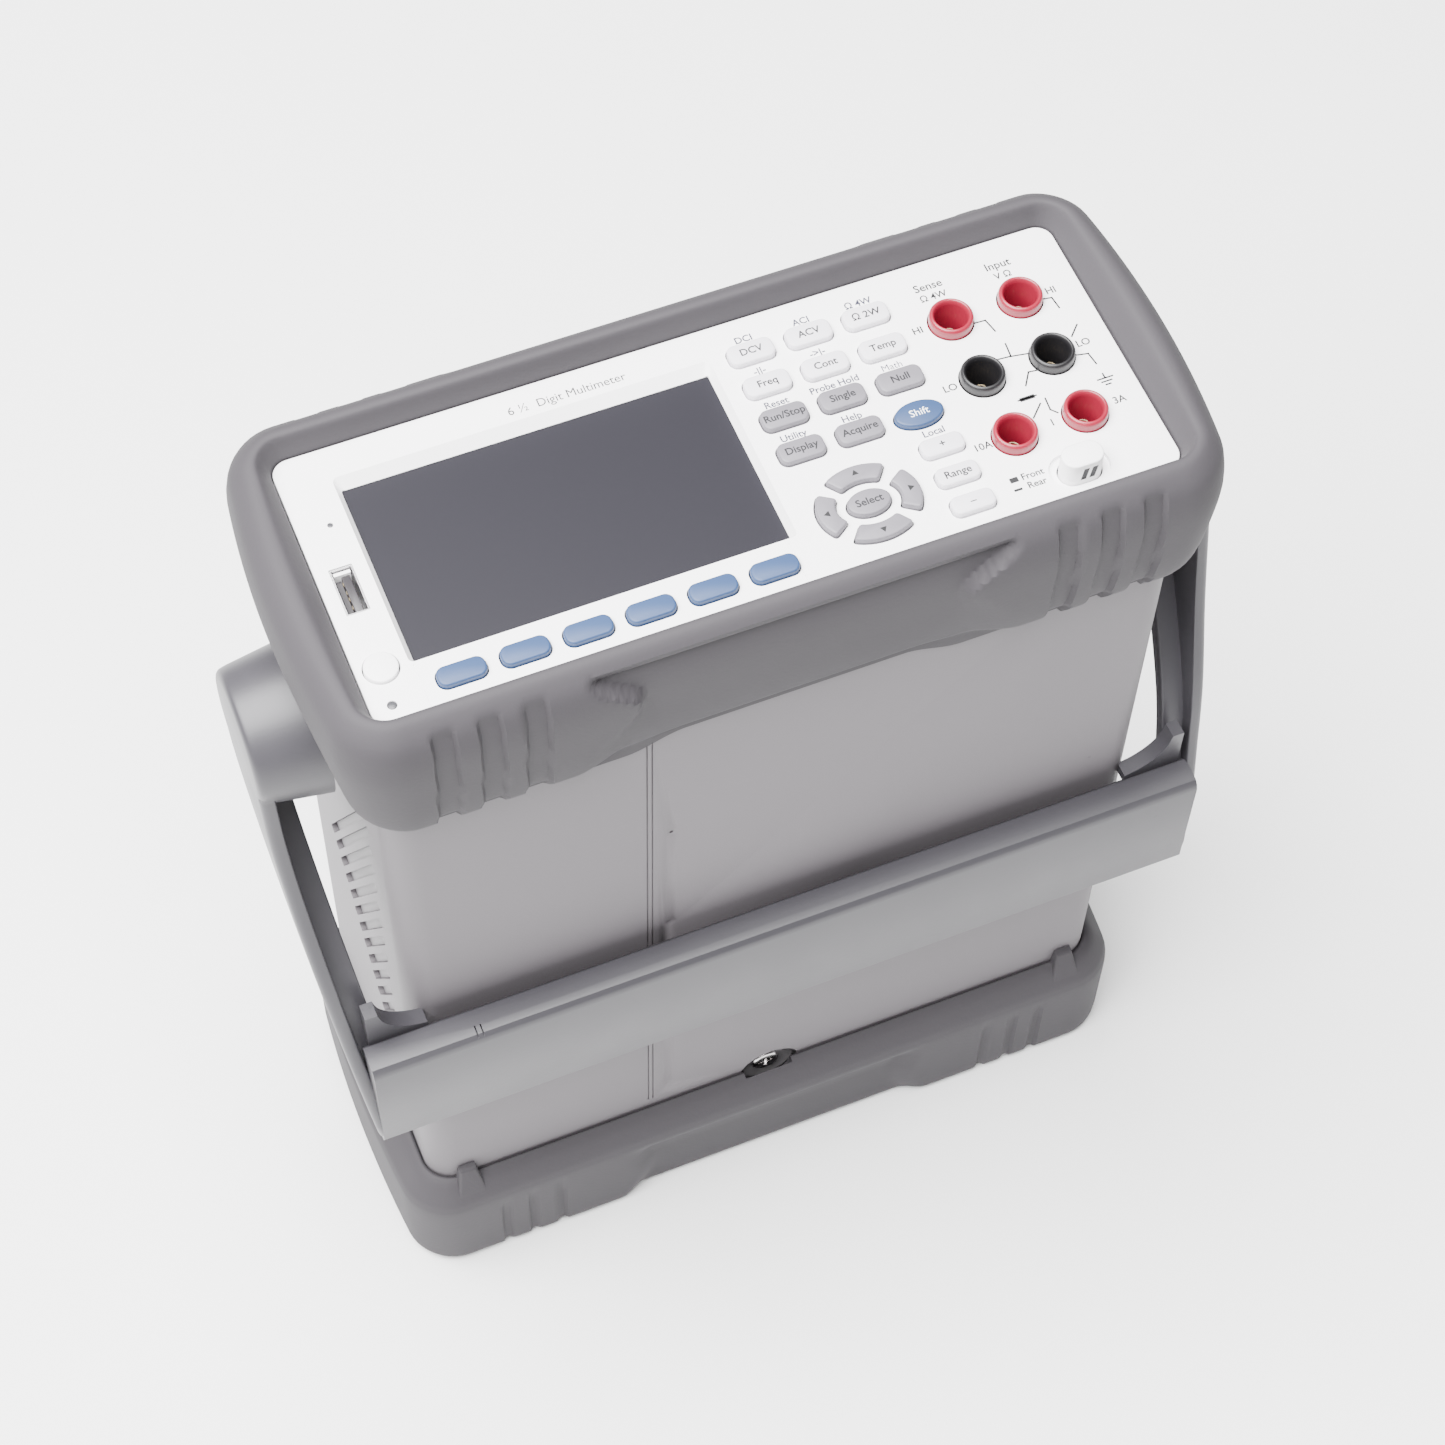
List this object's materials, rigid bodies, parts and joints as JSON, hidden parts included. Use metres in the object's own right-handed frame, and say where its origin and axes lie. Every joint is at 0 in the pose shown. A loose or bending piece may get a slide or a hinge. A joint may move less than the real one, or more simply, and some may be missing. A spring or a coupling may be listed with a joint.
{
  "type": "bench multimeter",
  "caption": "Half-rack bench multimeter with a display, press keys, 4 mm jacks, a front/rear switch, rubber bumpers and a swinging carry handle.",
  "frame": {"origin": "centre of the whole part's width and height, on the plane of the rear bumper's resting face", "axes": "+Z out of the front panel along the instrument's length, +X to the right along the panel, -Y out of the underside, so the instrument stands on its rear bumper; a turn of +90 degrees about X lays it down for use on a bench"},
  "size_m": [0.2612, 0.1084, 0.2978],
  "materials": {
    "bumper_rubber": "matte moulded rubber",
    "handle_plastic": "satin moulded plastic",
    "sleeve_paint": "fine textured paint on folded sheet",
    "panel_white": "satin moulded plastic",
    "key_white": "satin elastomer cap",
    "key_grey": "satin elastomer cap",
    "key_blue": "satin elastomer cap",
    "display_lens": "smoked clear lens",
    "jack_red": "moulded insulator",
    "jack_black": "moulded insulator",
    "steel": "plated sheet",
    "board_green": "soldermask over laminate",
    "dark_plastic": "moulded",
    "connector_brass": "plated, machined",
    "core_iron": "varnished lamination stack"
  },
  "bodies": {
    "case": {"cover_sleeve": "sleeve_paint", "front_bumper": "bumper_rubber", "rear_bumper": "bumper_rubber", "handle_pivot_left": "dark_plastic", "handle_pivot_right": "dark_plastic", "jack_sense_hi": "jack_red", "jack_input_hi": "jack_red", "jack_10a": "jack_red", "jack_3a": "jack_red", "jack_sense_lo": "jack_black", "jack_input_lo": "jack_black", "front_panel": "panel_white", "display_window": "display_lens", "display_module": "dark_plastic", "keypad_mat": "key_grey", "front_board": "board_green", "usb_host_port": "steel", "chassis_tray": "steel", "main_board": "board_green", "transformer": "core_iron", "rear_panel": "steel", "power_inlet": "dark_plastic", "rear_jack_block": "jack_black", "network_usb_block": "steel", "bnc_trigger_in": "connector_brass", "bnc_meter_complete": "connector_brass", "fan_frame": "dark_plastic", "cover_screw": "steel"},
    "handle": {"handle": "handle_plastic"},
    "soft_key_1": {"soft_key_1": "key_blue"},
    "soft_key_2": {"soft_key_2": "key_blue"},
    "soft_key_3": {"soft_key_3": "key_blue"},
    "soft_key_4": {"soft_key_4": "key_blue"},
    "soft_key_5": {"soft_key_5": "key_blue"},
    "soft_key_6": {"soft_key_6": "key_blue"},
    "key_dc_volts": {"key_dc_volts": "key_white"},
    "key_ac_volts": {"key_ac_volts": "key_white"},
    "key_ohms": {"key_ohms": "key_white"},
    "key_frequency": {"key_frequency": "key_white"},
    "key_continuity": {"key_continuity": "key_white"},
    "key_temperature": {"key_temperature": "key_white"},
    "key_range_up": {"key_range_up": "key_white"},
    "key_range": {"key_range": "key_white"},
    "key_range_down": {"key_range_down": "key_white"},
    "key_run_stop": {"key_run_stop": "key_grey"},
    "key_single": {"key_single": "key_grey"},
    "key_null": {"key_null": "key_grey"},
    "key_display": {"key_display": "key_grey"},
    "key_acquire": {"key_acquire": "key_grey"},
    "key_select": {"key_select": "key_grey"},
    "key_cursor_right": {"key_cursor_right": "key_grey"},
    "key_cursor_up": {"key_cursor_up": "key_grey"},
    "key_cursor_left": {"key_cursor_left": "key_grey"},
    "key_cursor_down": {"key_cursor_down": "key_grey"},
    "key_shift": {"key_shift": "key_blue"},
    "power_button": {"power_button": "panel_white"},
    "input_switch": {"input_switch_button": "panel_white", "input_switch_rod": "dark_plastic"},
    "fan_rotor": {"fan_rotor": "dark_plastic"},
    "current_fuse_cap": {"current_fuse_cap": "dark_plastic"}
  },
  "joints": [
    {"name": "handle_swing", "type": "hinge", "parent": "case", "child": "handle", "pos_m": [0, 0.00025, 0.245], "axis": [-1, 0, 0], "range_deg": [0, 300]},
    {"name": "soft_key_1_press", "type": "slide", "parent": "case", "child": "soft_key_1", "axis": [0, 0, -1], "range_m": [0, 0.001], "stiffness_N_per_m": 300, "springref_m": -0.002},
    {"name": "soft_key_2_press", "type": "slide", "parent": "case", "child": "soft_key_2", "axis": [0, 0, -1], "range_m": [0, 0.001], "stiffness_N_per_m": 300, "springref_m": -0.002},
    {"name": "soft_key_3_press", "type": "slide", "parent": "case", "child": "soft_key_3", "axis": [0, 0, -1], "range_m": [0, 0.001], "stiffness_N_per_m": 300, "springref_m": -0.002},
    {"name": "soft_key_4_press", "type": "slide", "parent": "case", "child": "soft_key_4", "axis": [0, 0, -1], "range_m": [0, 0.001], "stiffness_N_per_m": 300, "springref_m": -0.002},
    {"name": "soft_key_5_press", "type": "slide", "parent": "case", "child": "soft_key_5", "axis": [0, 0, -1], "range_m": [0, 0.001], "stiffness_N_per_m": 300, "springref_m": -0.002},
    {"name": "soft_key_6_press", "type": "slide", "parent": "case", "child": "soft_key_6", "axis": [0, 0, -1], "range_m": [0, 0.001], "stiffness_N_per_m": 300, "springref_m": -0.002},
    {"name": "key_dc_volts_press", "type": "slide", "parent": "case", "child": "key_dc_volts", "axis": [0, 0, -1], "range_m": [0, 0.001], "stiffness_N_per_m": 300, "springref_m": -0.002},
    {"name": "key_ac_volts_press", "type": "slide", "parent": "case", "child": "key_ac_volts", "axis": [0, 0, -1], "range_m": [0, 0.001], "stiffness_N_per_m": 300, "springref_m": -0.002},
    {"name": "key_ohms_press", "type": "slide", "parent": "case", "child": "key_ohms", "axis": [0, 0, -1], "range_m": [0, 0.001], "stiffness_N_per_m": 300, "springref_m": -0.002},
    {"name": "key_frequency_press", "type": "slide", "parent": "case", "child": "key_frequency", "axis": [0, 0, -1], "range_m": [0, 0.001], "stiffness_N_per_m": 300, "springref_m": -0.002},
    {"name": "key_continuity_press", "type": "slide", "parent": "case", "child": "key_continuity", "axis": [0, 0, -1], "range_m": [0, 0.001], "stiffness_N_per_m": 300, "springref_m": -0.002},
    {"name": "key_temperature_press", "type": "slide", "parent": "case", "child": "key_temperature", "axis": [0, 0, -1], "range_m": [0, 0.001], "stiffness_N_per_m": 300, "springref_m": -0.002},
    {"name": "key_range_up_press", "type": "slide", "parent": "case", "child": "key_range_up", "axis": [0, 0, -1], "range_m": [0, 0.001], "stiffness_N_per_m": 300, "springref_m": -0.002},
    {"name": "key_range_press", "type": "slide", "parent": "case", "child": "key_range", "axis": [0, 0, -1], "range_m": [0, 0.001], "stiffness_N_per_m": 300, "springref_m": -0.002},
    {"name": "key_range_down_press", "type": "slide", "parent": "case", "child": "key_range_down", "axis": [0, 0, -1], "range_m": [0, 0.001], "stiffness_N_per_m": 300, "springref_m": -0.002},
    {"name": "key_run_stop_press", "type": "slide", "parent": "case", "child": "key_run_stop", "axis": [0, 0, -1], "range_m": [0, 0.001], "stiffness_N_per_m": 300, "springref_m": -0.002},
    {"name": "key_single_press", "type": "slide", "parent": "case", "child": "key_single", "axis": [0, 0, -1], "range_m": [0, 0.001], "stiffness_N_per_m": 300, "springref_m": -0.002},
    {"name": "key_null_press", "type": "slide", "parent": "case", "child": "key_null", "axis": [0, 0, -1], "range_m": [0, 0.001], "stiffness_N_per_m": 300, "springref_m": -0.002},
    {"name": "key_display_press", "type": "slide", "parent": "case", "child": "key_display", "axis": [0, 0, -1], "range_m": [0, 0.001], "stiffness_N_per_m": 300, "springref_m": -0.002},
    {"name": "key_acquire_press", "type": "slide", "parent": "case", "child": "key_acquire", "axis": [0, 0, -1], "range_m": [0, 0.001], "stiffness_N_per_m": 300, "springref_m": -0.002},
    {"name": "key_select_press", "type": "slide", "parent": "case", "child": "key_select", "axis": [0, 0, -1], "range_m": [0, 0.001], "stiffness_N_per_m": 300, "springref_m": -0.002},
    {"name": "key_cursor_right_press", "type": "slide", "parent": "case", "child": "key_cursor_right", "axis": [0, 0, -1], "range_m": [0, 0.001], "stiffness_N_per_m": 300, "springref_m": -0.002},
    {"name": "key_cursor_up_press", "type": "slide", "parent": "case", "child": "key_cursor_up", "axis": [0, 0, -1], "range_m": [0, 0.001], "stiffness_N_per_m": 300, "springref_m": -0.002},
    {"name": "key_cursor_left_press", "type": "slide", "parent": "case", "child": "key_cursor_left", "axis": [0, 0, -1], "range_m": [0, 0.001], "stiffness_N_per_m": 300, "springref_m": -0.002},
    {"name": "key_cursor_down_press", "type": "slide", "parent": "case", "child": "key_cursor_down", "axis": [0, 0, -1], "range_m": [0, 0.001], "stiffness_N_per_m": 300, "springref_m": -0.002},
    {"name": "key_shift_press", "type": "slide", "parent": "case", "child": "key_shift", "axis": [0, 0, -1], "range_m": [0, 0.001], "stiffness_N_per_m": 300, "springref_m": -0.002},
    {"name": "power_button_press", "type": "slide", "parent": "case", "child": "power_button", "axis": [0, 0, -1], "range_m": [0, 0.001], "stiffness_N_per_m": 300, "springref_m": -0.002},
    {"name": "input_switch_push", "type": "slide", "parent": "case", "child": "input_switch", "axis": [0, 0, -1], "range_m": [0, 0.004]},
    {"name": "fan_spin", "type": "hinge", "parent": "case", "child": "fan_rotor", "pos_m": [0.058, 0.01625, 0.032], "axis": [0, 0, 1], "continuous": true},
    {"name": "fuse_cap_turn", "type": "hinge", "parent": "case", "child": "current_fuse_cap", "pos_m": [-0.036, -0.01975, 0.023], "axis": [0, 0, 1], "range_deg": [0, 90]}
  ]
}
